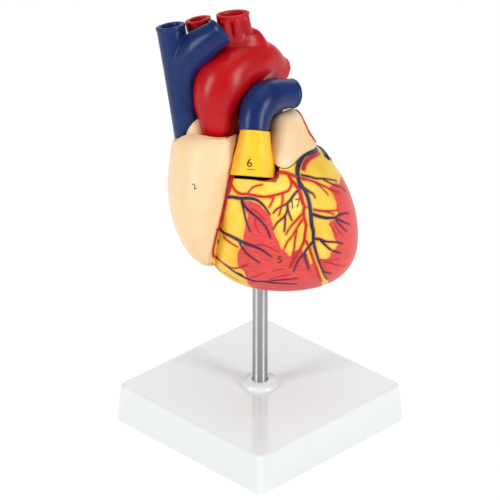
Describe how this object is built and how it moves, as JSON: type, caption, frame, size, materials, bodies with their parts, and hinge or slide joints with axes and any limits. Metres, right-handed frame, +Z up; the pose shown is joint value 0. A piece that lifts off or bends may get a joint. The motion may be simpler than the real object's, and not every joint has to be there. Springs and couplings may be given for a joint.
{
  "type": "human heart anatomy model",
  "caption": "Life-size heart model on a square stand, with a front wall that pulls off to show chambers and valves, and a heart that lifts off its rod.",
  "frame": {"origin": "middle of the underside of the square base, on the rod's axis", "axes": "+Z up along the rod; -Y the side that the front of the heart faces; +X the viewer's right, which is the heart's own left"},
  "size_m": [0.1806, 0.1806, 0.2739],
  "materials": {
    "base_plastic": "moulded white ABS, glossy",
    "rod_steel": "bright drawn steel",
    "fastener_steel": "zinc-plated steel",
    "magnet_nickel": "nickel-plated disc magnets",
    "wall_paint": "cream, yellow and red gloss paint on moulded PVC",
    "conus_yellow": "yellow gloss paint on moulded PVC",
    "vein_blue": "dark blue gloss paint on moulded PVC",
    "artery_red": "red gloss paint on moulded PVC",
    "auricle_cream": "cream gloss paint on moulded PVC",
    "valve_ivory": "ivory gloss paint on moulded PVC",
    "muscle_red": "muscle-red gloss paint on moulded PVC"
  },
  "bodies": {
    "stand": {"base_tray": "base_plastic", "rod_collar": "base_plastic"},
    "rod": {"support_rod": "rod_steel", "rod_washer": "fastener_steel", "rod_screw": "fastener_steel"},
    "heart": {"rod_sleeve": "base_plastic", "rear_wall": "wall_paint", "rear_magnets": "magnet_nickel", "locating_pins": "base_plastic", "conus": "conus_yellow", "pulmonary_trunk": "vein_blue", "right_pulmonary_artery": "vein_blue", "aorta": "artery_red", "brachiocephalic_trunk": "artery_red", "carotid_and_subclavian": "artery_red", "superior_vena_cava": "vein_blue", "brachiocephalic_vein": "vein_blue", "inferior_vena_cava": "vein_blue", "left_auricle": "auricle_cream", "right_upper_pulmonary_vein": "artery_red", "right_lower_pulmonary_vein": "artery_red", "left_upper_pulmonary_vein": "artery_red", "left_lower_pulmonary_vein": "artery_red", "tricuspid_valve": "valve_ivory", "mitral_valve": "valve_ivory", "pulmonary_valve": "valve_ivory", "aortic_valve": "valve_ivory", "papillary_muscles": "muscle_red", "chordae": "valve_ivory"},
    "front": {"front_wall": "wall_paint", "front_magnets": "magnet_nickel"}
  },
  "joints": [
    {"name": "rod_turn", "type": "hinge", "parent": "stand", "child": "rod", "pos_m": [0, 0, 0.025], "axis": [0, 0, 1], "continuous": true},
    {"name": "heart_lift", "type": "slide", "parent": "rod", "child": "heart", "axis": [0, 0, 1], "range_m": [0, 0.045]},
    {"name": "front_pull", "type": "slide", "parent": "heart", "child": "front", "axis": [0, -1, 0], "range_m": [0, 0.08]}
  ]
}
